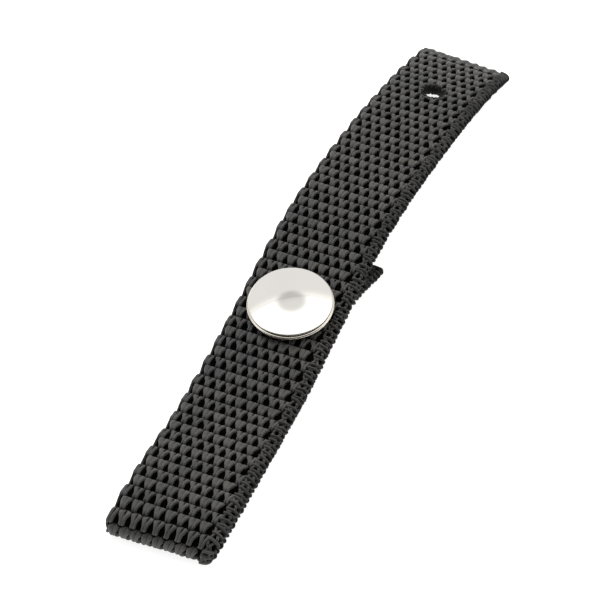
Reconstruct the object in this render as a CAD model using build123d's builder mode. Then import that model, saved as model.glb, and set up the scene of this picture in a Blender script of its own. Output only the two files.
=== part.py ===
from build123d import *
import os
from math import cos, radians, sin, tan

# Snap-fastened webbing strap, lying on a flat surface as it comes off the hand: one strip of
# heavy woven webbing, folded back under itself and held by a snap fastener, with a single tail
# that arches up and comes back down to the surface. Millimetres, +Z up, +Y towards the tail.

# ---- driving dimensions -------------------------------------------------------------------
webbing_width = 19.0
webbing_thickness = 1.8

# Upper run, as (length, turn in degrees) pieces of constant curvature, from the fold outwards.
crown = (16.0, -6.0)            # easing down from the fold
sag = (24.0, 14.0)              # dips between fold and snap, then climbs
snap_flat = 20.0                # straight where the snap's plates hold the webbing flat
arch_rise = (18.0, -9.0)        # climbs out of the snap
arch_top = (27.0, -5.5)
arch_fall = (6.6, -2.8)
tail_end_droop = (20.0, -11.2)  # the tail's end bends down to the surface
tail_seal_length = 1.4          # fused strip at the tail's cut end

snap_tilt = crown[1] + sag[1]   # the run's slope at the snap, in degrees

# Lower leg, from the snap: towards the fold it eases down to the surface, and past the snap
# it droops to its cut end.
leg_snap_flat = 15.0
leg_rise = (8.0, snap_tilt)
leg_droop = (6.0, -20.0)
leg_end = 5.0
leg_seal_length = 1.2
leg_offset = -1.2               # sideways, under the upper run
leg_end_offset = 0.5            # sideways, at the cut end

snap_gap = 2.4                  # between the two layers, at the snap

# The strip is not quite straight in plan: past the snap it bows sideways.
bow_start = 10.0
bow_length = 30.0
bow_angle = 3.4

# Punched hole near the tail's end
hole_diameter = 4.0
hole_rim_width = 0.8
hole_from_end = 18.0

# Snap fastener
press_depth = 0.45              # how far each plate sinks into the webbing
cap_diameter = 15.4
cap_lift = 0.6                  # how far the cap's rim stands off the webbing
cap_height = 2.5                # from the bottom of the rim
cap_sheet = 0.35
cap_bead = 0.4                  # radius of the rolled rim
dome_foot_height = 0.95         # above the bottom of the rim, where the dome meets it
boss_width = 2.0                # seat round the post, between the webbing and the cap's plate
post_diameter = 3.6
post_wall = 0.3
curl_width = 1.2                # how far the post's curled end spreads, across
curl_height = 0.3
socket_diameter = 11.6
mouth_clearance = 0.7           # round the stud's head, for the wires and for a tilted pull
socket_sheet = 0.4
spring_wire = 0.5
stud_flange_diameter = 10.8
stud_sheet = 0.4
stud_lip = 0.4                  # how far the stud's head stands out from its neck
socket_clearance = 0.2          # between the snap's halves, along its axis
eyelet_diameter = 10.0
eyelet_sheet = 0.45
running_gap = 0.05              # between pieces that don't grip each other
knuckle_gap = 0.02              # between two lengths of webbing that bend against each other

half_thickness = webbing_thickness / 2
half_width = webbing_width / 2


# ---- the strip's side view ----------------------------------------------------------------
def advance(point, heading, piece, forward=True):
    """Far end and heading of a constant-curvature piece, walked forwards or backwards."""
    length, turn = piece
    way = 1 if forward else -1
    turn = way * turn
    chord = length if turn == 0 else 2 * length / radians(turn) * sin(radians(turn) / 2)
    middle = radians(heading + turn / 2)
    end = (point[0] + way * chord * cos(middle), point[1] + way * chord * sin(middle))
    return end, heading + turn


def lifted(point, heading, distance):
    """The point moved square to the strip, upwards."""
    angle = radians(heading)
    return point[0] - distance * sin(angle), point[1] + distance * cos(angle)


# The snap's centre on the upper run's mid-surface is the start of the working out. The
# surface that the strap lies on is the underside of the lower leg's flat stretch.
run_snap = (0.0, 0.0)
run_sag_end, _ = advance(run_snap, snap_tilt, (snap_flat / 2, 0.0), forward=False)
run_crown_end, crown_heading = advance(run_sag_end, snap_tilt, sag, forward=False)
fold_top, _ = advance(run_crown_end, crown_heading, crown, forward=False)

leg_snap = lifted(run_snap, snap_tilt, -(webbing_thickness + snap_gap))
leg_rise_end, _ = advance(leg_snap, snap_tilt, (leg_snap_flat / 2, 0.0), forward=False)
leg_rise_start, _ = advance(leg_rise_end, snap_tilt, leg_rise, forward=False)
fold_bottom = (fold_top[0], leg_rise_start[1])
fold_radius = (fold_top[1] - fold_bottom[1]) / 2
fold_centre = (fold_top[0], fold_bottom[1] + fold_radius)

run_rise_start, _ = advance(run_snap, snap_tilt, (snap_flat / 2, 0.0))
inner_hinge, inner_heading = advance(run_rise_start, snap_tilt, arch_rise)
outer_hinge, outer_heading = advance(inner_hinge, inner_heading, arch_top)
droop_start, droop_heading = advance(outer_hinge, outer_heading, arch_fall)
tail_tip, tail_heading = advance(droop_start, droop_heading, tail_end_droop)
tail_cut, _ = advance(tail_tip, tail_heading, (tail_seal_length, 0.0))

leg_droop_start, _ = advance(leg_snap, snap_tilt, (leg_snap_flat / 2, 0.0))
leg_droop_end, leg_heading = advance(leg_droop_start, snap_tilt, leg_droop)
leg_tip, _ = advance(leg_droop_end, leg_heading, (leg_end, 0.0))
leg_cut, _ = advance(leg_tip, leg_heading, (leg_seal_length, 0.0))

# ---- the strip in plan --------------------------------------------------------------------
bow_radius = bow_length / radians(bow_angle)
bow_shift = bow_radius * (1 - cos(radians(bow_angle)))
bow_end = bow_start + bow_radius * sin(radians(bow_angle))


def strip_shift(y):
    """Sideways place of the upper run's centreline, at a distance y past the snap."""
    if y <= bow_start:
        return 0.0
    if y <= bow_end:
        return bow_radius - (bow_radius**2 - (y - bow_start) ** 2) ** 0.5
    return bow_shift + (y - bow_end) * tan(radians(bow_angle))


# The frame's origin is the middle of the strap's box, on the surface that it lies on.
near_y = fold_centre[0] - fold_radius - half_thickness
far_y = lifted(tail_cut, tail_heading, half_thickness)[0]
low_x = leg_offset - half_width
high_x = strip_shift(far_y) + half_width
shift_x = -(low_x + high_x) / 2
shift_y = -(near_y + far_y) / 2
shift_z = half_thickness - fold_bottom[1]
side = Plane(origin=(shift_x, shift_y, shift_z), x_dir=(0, 1, 0), z_dir=(1, 0, 0))
above = Plane(origin=(shift_x, shift_y, 0))
front = Plane(origin=(shift_x, shift_y, shift_z), x_dir=(1, 0, 0), z_dir=(0, -1, 0))
reach = 4 * webbing_width       # longer than the strip is wide or high, for cutting through


def strip_side(start, heading, pieces, knuckle=None, clear_of=None):
    """Side view of webbing along the pieces: rounded at knuckle, cut back from clear_of."""
    with BuildSketch(side) as view:
        with BuildLine() as middle:
            for length, turn in pieces:
                end, next_heading = advance(start, heading, (length, turn))
                if turn == 0:
                    Line(start, end)
                else:
                    direction = (cos(radians(heading)), sin(radians(heading)))
                    JernArc(start, direction, length / radians(abs(turn)), turn)
                start, heading = end, next_heading
        trace(middle.edges(), line_width=webbing_thickness)
        if knuckle:
            with Locations(knuckle):
                Circle(half_thickness)
        if clear_of:
            place, slope = clear_of
            with Locations(place):
                Rectangle(2 * (half_thickness + knuckle_gap), 3 * webbing_thickness,
                          rotation=slope, mode=Mode.SUBTRACT)
    return view.sketch


def fold_side(half):
    """Side view of one half of the fold, half being Align.MIN above and Align.MAX below."""
    with BuildSketch(side) as view:
        with Locations(fold_centre):
            Circle(fold_radius + half_thickness)
            Circle(fold_radius - half_thickness, mode=Mode.SUBTRACT)
            Rectangle(reach, reach, align=(Align.MAX, half), mode=Mode.INTERSECT)
    return view.sketch


def strip_outline():
    """The strip's plan, from the fold to past the tail's cut end."""
    with BuildSketch(above) as plan:
        with BuildLine():
            ends = []
            for edge in (half_width, -half_width):
                straight = Line((edge, near_y - reach), (edge, bow_start))
                bend = JernArc(straight @ 1, (0, 1), bow_radius - edge, -bow_angle)
                far = bend @ 1 + (bend % 1) * reach
                Line(bend @ 1, far)
                ends.append((straight @ 0, far))
            Line(ends[0][0], ends[1][0])
            Line(ends[0][1], ends[1][1])
        make_face()
    return plan.sketch


def leg_outline():
    """The lower leg's plan: set over a little sideways, and less so at its cut end."""
    turn_y = leg_droop_start[0]
    end_y = leg_cut[0] + half_thickness
    corners = []
    for edge, order in ((half_width, 1), (-half_width, -1)):
        line = [(edge + leg_offset, near_y - reach), (edge + leg_offset, turn_y),
                (edge + leg_end_offset, end_y)]
        corners += line[::order]
    with BuildSketch(above) as plan:
        with BuildLine():
            Polyline(corners, close=True)
        make_face()
    return plan.sketch


def fold_outline():
    """The fold seen end on: its sides lean from the upper run to the leg."""
    top = fold_top[1] + half_thickness
    bottom = fold_bottom[1] - half_thickness
    with BuildSketch(front) as view:
        with BuildLine():
            Polyline((half_width, top), (-half_width, top), (leg_offset - half_width, bottom),
                     (leg_offset + half_width, bottom), close=True)
        make_face()
    return view.sketch


# ---- the snap's axis ----------------------------------------------------------------------
# Heights along the snap's axis are measured from the upper run's top face.
run_face = lifted(run_snap, snap_tilt, half_thickness)
snap_origin = (shift_x, shift_y + run_face[0], shift_z + run_face[1])
snap_up = (0, -sin(radians(snap_tilt)), cos(radians(snap_tilt)))
snap_section = Plane(origin=snap_origin, x_dir=(1, 0, 0), z_dir=(0, -snap_up[2], snap_up[1]))
snap_axis = Axis(snap_origin, snap_up)

stud_neck_diameter = post_diameter + 2 * stud_sheet
stud_head_diameter = stud_neck_diameter + 2 * stud_lip
socket_mouth = stud_head_diameter + 2 * mouth_clearance
run_under = -webbing_thickness
leg_face = run_under - snap_gap
leg_under = leg_face - webbing_thickness
socket_top = run_under + press_depth
socket_ceiling = socket_top - socket_sheet
stud_bottom = leg_face - press_depth
stud_flange_top = stud_bottom + stud_sheet
socket_bottom = stud_flange_top + socket_clearance
stud_top = socket_ceiling - curl_height - socket_clearance
lip_top = socket_bottom + socket_sheet
spring_level = lip_top + running_gap + spring_wire / 2
head_bottom = spring_level + spring_wire / 2 + running_gap
eyelet_top = leg_under + press_depth


def ring(outer, inner, low, high):
    """Section of a flat ring about the snap's axis, from low to high. inner 0 makes a disc."""
    with BuildSketch(snap_section) as section:
        with Locations(((outer + inner) / 4, (low + high) / 2)):
            Rectangle((outer - inner) / 2, high - low)
    return section.sketch


# ---- webbing ------------------------------------------------------------------------------
bent_length = hole_from_end - tail_seal_length
bent_turn = tail_end_droop[1] * bent_length / tail_end_droop[0]
hole_centre, hole_heading = advance(tail_tip, tail_heading, (bent_length, bent_turn), forward=False)
hole_up = (0, -sin(radians(hole_heading)), cos(radians(hole_heading)))
hole_origin = (
    shift_x + strip_shift(hole_centre[0]),
    shift_y + hole_centre[0],
    shift_z + hole_centre[1],
)
hole_plane = Plane(origin=hole_origin, x_dir=(1, 0, 0), z_dir=hole_up)
hole_rim_diameter = hole_diameter + 2 * hole_rim_width

with BuildPart() as webbing_run:
    run = [crown, sag, (snap_flat, 0.0), arch_rise]
    extrude(strip_side(fold_top, 0.0, run, knuckle=inner_hinge), amount=reach, both=True)
    extrude(strip_outline(), amount=reach, both=True, mode=Mode.INTERSECT)
    revolve(ring(post_diameter, 0, run_under - 1, 1), axis=snap_axis, mode=Mode.SUBTRACT)
    revolve(ring(socket_diameter, 0, leg_face, socket_top), axis=snap_axis, mode=Mode.SUBTRACT)
webbing_run.part.label = "webbing_run"

with BuildPart() as webbing_fold_upper:
    extrude(fold_side(Align.MIN), amount=reach, both=True)
    extrude(fold_outline(), amount=2 * reach, both=True, mode=Mode.INTERSECT)
webbing_fold_upper.part.label = "webbing_fold_upper"

with BuildPart() as webbing_fold_lower:
    extrude(fold_side(Align.MAX), amount=reach, both=True)
    extrude(fold_outline(), amount=2 * reach, both=True, mode=Mode.INTERSECT)
webbing_fold_lower.part.label = "webbing_fold_lower"

with BuildPart() as webbing_leg:
    leg_flat = (leg_rise_start[0] - fold_bottom[0], 0.0)
    leg = [leg_flat, leg_rise, (leg_snap_flat, 0.0), leg_droop, (leg_end, 0.0)]
    extrude(strip_side(fold_bottom, 0.0, leg), amount=reach, both=True)
    extrude(leg_outline(), amount=reach, both=True, mode=Mode.INTERSECT)
    revolve(ring(post_diameter, 0, leg_under - 1, leg_face + 1), axis=snap_axis,
            mode=Mode.SUBTRACT)
    revolve(ring(stud_flange_diameter, 0, stud_bottom, run_under), axis=snap_axis,
            mode=Mode.SUBTRACT)
    revolve(ring(eyelet_diameter, 0, leg_under - snap_gap, eyelet_top), axis=snap_axis,
            mode=Mode.SUBTRACT)
webbing_leg.part.label = "webbing_leg"

with BuildPart() as leg_end_seal:
    extrude(strip_side(leg_tip, leg_heading, [(leg_seal_length, 0.0)]), amount=reach, both=True)
    extrude(leg_outline(), amount=reach, both=True, mode=Mode.INTERSECT)
leg_end_seal.part.label = "leg_end_seal"

with BuildPart() as webbing_tail_inner:
    extrude(strip_side(inner_hinge, inner_heading, [arch_top], knuckle=outer_hinge,
                       clear_of=(inner_hinge, inner_heading)), amount=reach, both=True)
    extrude(strip_outline(), amount=reach, both=True, mode=Mode.INTERSECT)
webbing_tail_inner.part.label = "webbing_tail_inner"

with BuildPart() as webbing_tail_outer:
    extrude(strip_side(outer_hinge, outer_heading, [arch_fall, tail_end_droop],
                       clear_of=(outer_hinge, outer_heading)), amount=reach, both=True)
    extrude(strip_outline(), amount=reach, both=True, mode=Mode.INTERSECT)
    with BuildSketch(hole_plane):
        Circle(hole_rim_diameter / 2)
    extrude(amount=2 * webbing_thickness, both=True, mode=Mode.SUBTRACT)
webbing_tail_outer.part.label = "webbing_tail_outer"

with BuildPart() as hole_rim_seal:
    with BuildSketch(hole_plane):
        Circle(hole_rim_diameter / 2)
        Circle(hole_diameter / 2, mode=Mode.SUBTRACT)
    extrude(amount=half_thickness, both=True)
hole_rim_seal.part.label = "hole_rim_seal"

with BuildPart() as tail_end_seal:
    extrude(strip_side(tail_tip, tail_heading, [(tail_seal_length, 0.0)]), amount=reach,
            both=True)
    extrude(strip_outline(), amount=reach, both=True, mode=Mode.INTERSECT)
tail_end_seal.part.label = "tail_end_seal"

# ---- snap: cap side, on the upper run -----------------------------------------------------
cap_radius = cap_diameter / 2
dome_foot = cap_radius - cap_bead


def cap_section():
    """Section of the sheet-metal cap: a shallow dome, and its edge rolled into a bead."""
    foot = (dome_foot, cap_lift + dome_foot_height)
    under_foot = (dome_foot - cap_sheet, foot[1] - cap_sheet / 2)
    apex = cap_lift + cap_height
    bead_top = cap_lift + 2 * cap_bead
    with BuildSketch(snap_section) as section:
        with BuildLine():
            dome = TangentArc((0, apex), foot, tangent=(1, 0))
            wall = Line(foot, (dome_foot, bead_top))
            bead = ThreePointArc(wall @ 1, (cap_radius, cap_lift + cap_bead),
                                 (dome_foot, cap_lift))
            brim = Line(bead @ 1, (dome_foot - cap_sheet, cap_lift))
            Line(brim @ 1, under_foot)
            under = TangentArc((0, apex - cap_sheet), under_foot, tangent=(1, 0))
            Line(under @ 0, dome @ 0)
        make_face()
    return section.sketch


with BuildPart() as snap_cap:
    revolve(cap_section(), axis=snap_axis)
snap_cap.part.label = "snap_cap"

with BuildPart() as cap_post:
    plate_radius = dome_foot - cap_sheet
    curl_bottom = socket_ceiling - curl_height
    post_bore = post_diameter - 2 * post_wall
    revolve(ring(2 * plate_radius, 0, cap_lift, cap_lift + cap_sheet), axis=snap_axis)
    revolve(ring(post_diameter + 2 * boss_width, post_bore, 0, cap_lift), axis=snap_axis)
    revolve(ring(post_diameter, post_bore, curl_bottom, 0), axis=snap_axis)
    revolve(ring(post_diameter + curl_width, post_bore, curl_bottom, socket_ceiling),
            axis=snap_axis)
cap_post.part.label = "cap_post"

with BuildPart() as snap_socket:
    socket_bore = socket_diameter - 2 * socket_sheet
    revolve(ring(socket_diameter, post_diameter, socket_ceiling, socket_top), axis=snap_axis)
    revolve(ring(socket_diameter, socket_bore, socket_bottom, socket_ceiling), axis=snap_axis)
    revolve(ring(socket_diameter, socket_mouth, socket_bottom, lip_top), axis=snap_axis)
snap_socket.part.label = "snap_socket"

with BuildPart() as socket_spring:
    wire_place = stud_neck_diameter / 2 + spring_wire / 2 + running_gap
    wire_reach = ((socket_bore / 2) ** 2 - (wire_place + spring_wire / 2) ** 2) ** 0.5
    with BuildSketch(snap_section):
        with Locations((wire_place, spring_level), (-wire_place, spring_level)):
            Circle(spring_wire / 2)
    extrude(amount=wire_reach - running_gap, both=True)
socket_spring.part.label = "socket_spring"

# ---- snap: stud side, on the lower leg ----------------------------------------------------
with BuildPart() as snap_stud:
    revolve(ring(stud_flange_diameter, post_diameter, stud_bottom, stud_flange_top),
            axis=snap_axis)
    revolve(ring(stud_neck_diameter, post_diameter, stud_flange_top, stud_top), axis=snap_axis)
    revolve(ring(stud_head_diameter, post_diameter, head_bottom, stud_top), axis=snap_axis)
    revolve(ring(post_diameter, 0, stud_top - stud_sheet, stud_top), axis=snap_axis)
snap_stud.part.label = "snap_stud"

with BuildPart() as stud_eyelet:
    revolve(ring(eyelet_diameter, post_bore, eyelet_top - eyelet_sheet, eyelet_top),
            axis=snap_axis)
    revolve(ring(post_diameter, post_bore, eyelet_top, stud_top - stud_sheet), axis=snap_axis)
stud_eyelet.part.label = "stud_eyelet"

# ---- out ----------------------------------------------------------------------------------
nodes = [
    webbing_leg, webbing_fold_lower, leg_end_seal, snap_stud, stud_eyelet,
    webbing_run, webbing_fold_upper, snap_cap, cap_post, snap_socket, socket_spring,
    webbing_tail_inner, webbing_tail_outer, hole_rim_seal, tail_end_seal,
]
os.makedirs("parts", exist_ok=True)
for node in nodes:
    export_step(node.part, f"parts/{node.part.label}.step")

fold_hinge = (0.0, shift_y + near_y, shift_z + fold_centre[1])
places = {
    "fold hinge": fold_hinge,
    "inner tail hinge": (0.0, shift_y + inner_hinge[0], shift_z + inner_hinge[1]),
    "outer tail hinge": (0.0, shift_y + outer_hinge[0], shift_z + outer_hinge[1]),
    "snap face": snap_origin,
    "snap direction": snap_up,
    "hole": hole_origin,
    "hole direction": hole_up,
    "tail tip": (0.0, shift_y + tail_cut[0], shift_z + tail_cut[1]),
}
for name, place in places.items():
    print(f"{name}: {place[0]:.4f} {place[1]:.4f} {place[2]:.4f}")
print(f"fold radius {fold_radius:.3f}, leg flat {leg_flat[0]:.3f}, tail lowest "
      f"{shift_z + lifted(tail_cut, tail_heading, -half_thickness)[1]:.3f}")
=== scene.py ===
"""Looks of a snap-fastened webbing strap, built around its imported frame.

Sizes in the classes are millimetres, and meshes are made in metres. The webbing is worked out in
strip coordinates: s runs along the strip from the lower leg's cut end, round the fold, to the
tail's cut end, u runs across it towards +X, and h is the height off its middle surface, positive
on the outer face.
"""

from __future__ import annotations

import logging
import math
from dataclasses import dataclass, field
from enum import Enum

import bpy
import numpy as np
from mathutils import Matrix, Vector

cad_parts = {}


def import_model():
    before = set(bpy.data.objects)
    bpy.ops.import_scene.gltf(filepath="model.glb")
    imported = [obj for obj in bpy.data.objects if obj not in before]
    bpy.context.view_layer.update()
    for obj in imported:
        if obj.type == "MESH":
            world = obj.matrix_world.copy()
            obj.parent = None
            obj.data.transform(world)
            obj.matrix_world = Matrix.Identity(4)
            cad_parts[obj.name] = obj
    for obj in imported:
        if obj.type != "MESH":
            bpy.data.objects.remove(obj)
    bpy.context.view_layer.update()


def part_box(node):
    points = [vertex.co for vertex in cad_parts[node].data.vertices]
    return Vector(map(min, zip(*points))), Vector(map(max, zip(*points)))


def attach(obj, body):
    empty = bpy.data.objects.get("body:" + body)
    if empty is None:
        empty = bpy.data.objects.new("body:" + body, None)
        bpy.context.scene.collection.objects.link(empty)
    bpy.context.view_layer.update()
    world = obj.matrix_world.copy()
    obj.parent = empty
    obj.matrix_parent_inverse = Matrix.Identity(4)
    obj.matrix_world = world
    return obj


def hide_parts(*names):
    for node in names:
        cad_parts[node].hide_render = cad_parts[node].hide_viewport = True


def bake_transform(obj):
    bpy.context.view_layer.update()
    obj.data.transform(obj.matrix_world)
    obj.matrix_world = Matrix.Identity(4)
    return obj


log = logging.getLogger("strap")

MM = 0.001
FULL_TURN = 2 * math.pi
WELD_REACH = 1e-7  # metres
NOISE_RANGE = (0.3, 0.7)  # where most of a noise texture's values lie
UPWARDS = np.array([0.0, 0.0, 1.0])
Array = np.ndarray
Material = bpy.types.Material
Piece = bpy.types.Object
Socket = bpy.types.NodeSocket
Triple = tuple[float, float, float]
Pair = tuple[float, float]


class Body(str, Enum):
    """Bodies of the frame."""

    LEG = "lower_leg"
    RUN = "upper_run"
    TAIL_INNER = "tail_inner"
    TAIL_OUTER = "tail_outer"


class Slot(str, Enum):
    """Material slots of the frame's record."""

    WEBBING = "webbing"
    FUSED = "fused_edge"
    CAP = "polished_cap"
    HARDWARE = "snap_hardware"
    SPRING = "spring_wire"


# ---- small maths ----
def smooth(x: Array | float, low: float, high: float) -> Array:
    """Smooth step of x from 0 at low to 1 at high."""
    t = np.clip((np.asarray(x, float) - low) / (high - low), 0.0, 1.0)
    return t * t * (3.0 - 2.0 * t)


def hump(x: Array, centre: float, spread: float) -> Array:
    """Bell curve of height 1 about centre."""
    return np.exp(-(((x - centre) / spread) ** 2))


def squared(wave: Array, power: float) -> Array:
    """A sine or cosine, bulged towards a square wave by a power below 1."""
    return np.sign(wave) * np.abs(wave) ** power


def ring_angles(sides: int) -> Array:
    """Angles of evenly spaced points round a ring, in radians."""
    return np.arange(sides) * FULL_TURN / sides


class Wobble:
    """A smooth, repeatable random function of one number."""

    GAIN = 1.3

    def __init__(self, rng: np.random.Generator, waves: int, shortest: float,
                 longest: float) -> None:
        """Draws the waves.

        Args:
            rng: The source of random numbers.
            waves: How many sine waves are added up.
            shortest: The shortest wavelength.
            longest: The longest wavelength.
        """
        self.lengths = np.exp(rng.uniform(math.log(shortest), math.log(longest), waves))
        self.phases = rng.uniform(0, FULL_TURN, waves)
        self.weights = rng.uniform(0.5, 1.0, waves) / math.sqrt(waves)

    def __call__(self, x: Array) -> Array:
        """The value at x, mostly within -1 and 1."""
        turned = FULL_TURN * np.asarray(x, float)[..., None] / self.lengths + self.phases
        return (self.weights * np.sin(turned)).sum(-1) * self.GAIN


# ---- the strip's middle surface ----
@dataclass
class StripPath:
    """The strip's route from the leg's cut end, as pieces of (length, turn in degrees)."""

    width: float = 19.0
    thickness: float = 1.8
    leg_end: Pair = (6.2, 0.0)
    leg_droop: Pair = (6.0, 20.0)
    leg_snap_flat: Pair = (15.0, 0.0)
    leg_rise: Pair = (8.0, -8.0)
    leg_flat: Pair = (34.994, 0.0)
    fold_radius: float = 2.394
    crown: Pair = (16.0, -6.0)
    sag: Pair = (24.0, 14.0)
    snap_flat: Pair = (20.0, 0.0)
    arch_rise: Pair = (18.0, -9.0)
    arch_top: Pair = (27.0, -5.5)
    arch_fall: Pair = (6.6, -2.8)
    tail_end_droop: Pair = (20.0, -11.2)
    tail_seal: Pair = (1.4, 0.0)
    leg_offset: float = -1.2
    leg_end_offset: float = 0.5
    bow_start: float = 10.0
    bow_length: float = 30.0
    bow_angle: float = 3.4
    start_heading: float = 168.0
    fold_skew: float = 1.0
    skew_spread: float = 6.0
    corner_squeeze: float = 0.045
    squeeze_back: float = 1.2
    squeeze_spread: float = 2.6
    end_slant: float = 0.06
    end_lift: float = 0.45
    end_zone: float = 12.0
    end_overrun: float = 1.2
    stops: dict[str, float] = field(default_factory=dict)

    ROUTE = ("leg_end", "leg_droop", "leg_snap_flat", "leg_rise", "leg_flat", "fold", "crown",
             "sag", "snap_flat", "arch_rise", "arch_top", "arch_fall", "tail_end_droop",
             "tail_seal")

    def __post_init__(self) -> None:
        """Walks the pieces and sets the strip down where the frame's fold and run are."""
        self.fold = (math.pi * self.fold_radius, -180.0)
        self.rows: list[tuple[float, float, float, float, float, float]] = []
        place, heading, reached = np.zeros(2), math.radians(self.start_heading), 0.0
        for name in self.ROUTE:
            length, turn = getattr(self, name)
            turn = math.radians(turn)
            self.stops[name] = reached
            self.rows.append((reached, length, turn, heading, float(place[0]), float(place[1])))
            place = place + self._step(length, length, turn, heading)
            heading, reached = heading + turn, reached + length
        self.length = reached
        self.leg_snap = self.stops["leg_snap_flat"] + self.leg_snap_flat[0] / 2
        self.run_snap = self.stops["snap_flat"] + self.snap_flat[0] / 2
        low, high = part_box("webbing_fold_upper")
        half = self.thickness / 2
        *_, fold_y, fold_z = self.rows[self.ROUTE.index("fold")]
        self.shift = np.array([low.y / MM + half + self.fold_radius - fold_y, half - fold_z])
        self.centre_x = high.x / MM - self.width / 2
        self.snap_y = float(self.side(np.array([self.run_snap]))[0][0, 0])
        self.bow_radius = self.bow_length / math.radians(self.bow_angle)

    @staticmethod
    def _step(travel: Array | float, length: float, turn: float, heading: float) -> Array:
        """Displacement after some travel along one piece, in the side view.

        Args:
            travel: The distance travelled.
            length: The piece's length.
            turn: How far the piece turns, in radians.
            heading: Its heading where it starts, in radians.

        Returns:
            The (y, z) displacement.
        """
        travel = np.asarray(travel, float)
        if turn == 0:
            return np.stack([travel * math.cos(heading), travel * math.sin(heading)], -1)
        radius = length / turn
        now = heading + travel / radius
        return radius * np.stack([np.sin(now) - math.sin(heading),
                                  math.cos(heading) - np.cos(now)], -1)

    def side(self, s: Array) -> tuple[Array, Array]:
        """The middle surface in the side view.

        Args:
            s: Distances along the strip.

        Returns:
            The (y, z) places and the headings in radians. The ends run on straight.
        """
        s = np.asarray(s, float)
        places, headings = np.zeros(s.shape + (2,)), np.zeros(s.shape)
        last = len(self.rows) - 1
        for i, (start, length, turn, heading, y, z) in enumerate(self.rows):
            first_s = start if i else -math.inf
            last_s = start + length if i < last else math.inf
            inside = (s >= first_s) & (s < last_s)
            step = self._step(s[inside] - start, length, turn, heading)
            places[inside] = np.array([y, z]) + step
            headings[inside] = heading + (turn / length) * (s[inside] - start)
        return places + self.shift, headings

    def across(self, s: Array, places: Array) -> tuple[Array, Array]:
        """The centreline in plan.

        Args:
            s: Distances along the strip.
            places: The side view's (y, z) places there.

        Returns:
            Its sideways places, and its angles in radians.
        """
        end_run = self.leg_offset + (self.leg_end_offset - self.leg_offset) * (
            1 - np.clip(s / self.stops["leg_snap_flat"], 0, 1))
        rise = np.clip((places[..., 1] - self.thickness / 2) / (2 * self.fold_radius), 0, 1)
        lean = self.leg_offset * (1 - rise)
        forward = places[..., 0] - self.snap_y - self.bow_start
        most = math.sin(math.radians(self.bow_angle))
        angle = np.arcsin(np.clip(forward / self.bow_radius, 0, most))
        past = np.maximum(forward - self.bow_radius * np.sin(angle), 0)
        bow = self.bow_radius * (1 - np.cos(angle)) + past * np.tan(angle)
        on_leg, on_fold = s < self.stops["fold"], s < self.stops["crown"]
        sideways = np.where(on_leg, end_run, np.where(on_fold, lean, bow))
        return self.centre_x + sideways, np.where(on_fold, 0.0, angle)

    def place(self, strip_points: Array) -> Array:
        """Puts strip points in the frame.

        Args:
            strip_points: Points (s, u, h).

        Returns:
            Points (x, y, z), in millimetres.
        """
        s, u, h = strip_points[..., 0], strip_points[..., 1], strip_points[..., 2]
        cut = smooth(s, self.length - self.end_zone, self.length)
        slant = self.end_slant * (self.width / 2 - u) * cut
        s = np.minimum(s + slant, self.length + self.end_overrun)
        places, heading = self.side(s)
        x, angle = self.across(s, places)
        c, n = np.cos(heading), np.sin(heading)
        middle = (self.stops["fold"] + self.stops["crown"]) / 2
        skew = self.fold_skew * (0.5 - u / self.width) * hump(s, middle, self.skew_spread)
        squeeze = hump(s, middle - self.squeeze_back, self.squeeze_spread)
        u = u * (1 - self.corner_squeeze * squeeze)
        return np.stack([
            x + u * np.cos(angle),
            places[..., 0] - u * np.sin(angle) * c - h * n - skew,
            places[..., 1] - u * np.sin(angle) * n + h * c + self.end_lift * slant,
        ], -1)

    def point(self, s: float, u: float = 0.0, h: float = 0.0) -> Vector:
        """One point of the frame, in metres."""
        return Vector(self.place(np.array([[s, u, h]]))[0] * MM)


# ---- meshes ----
def add_object(name: str, data: bpy.types.ID) -> Piece:
    """Puts new data in the scene.

    Args:
        name: The object's name.
        data: Its mesh, lamp or camera.

    Returns:
        The object.
    """
    made = bpy.data.objects.new(name, data)
    bpy.context.scene.collection.objects.link(made)
    return made


def quad_corners(rows: int, columns: int, wrap: bool) -> Array:
    """Corner numbers of the quads between rows of points.

    Args:
        rows: How many rows.
        columns: How many points in each.
        wrap: Whether the last column joins the first.

    Returns:
        The numbers, as (quads, 4).
    """
    i, j = np.meshgrid(np.arange(rows - 1), np.arange(columns if wrap else columns - 1),
                       indexing="ij")
    k = (j + 1) % columns
    here, after = i * columns, (i + 1) * columns
    return np.stack([here + j, after + j, after + k, here + k], -1).reshape(-1, 4)


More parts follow.
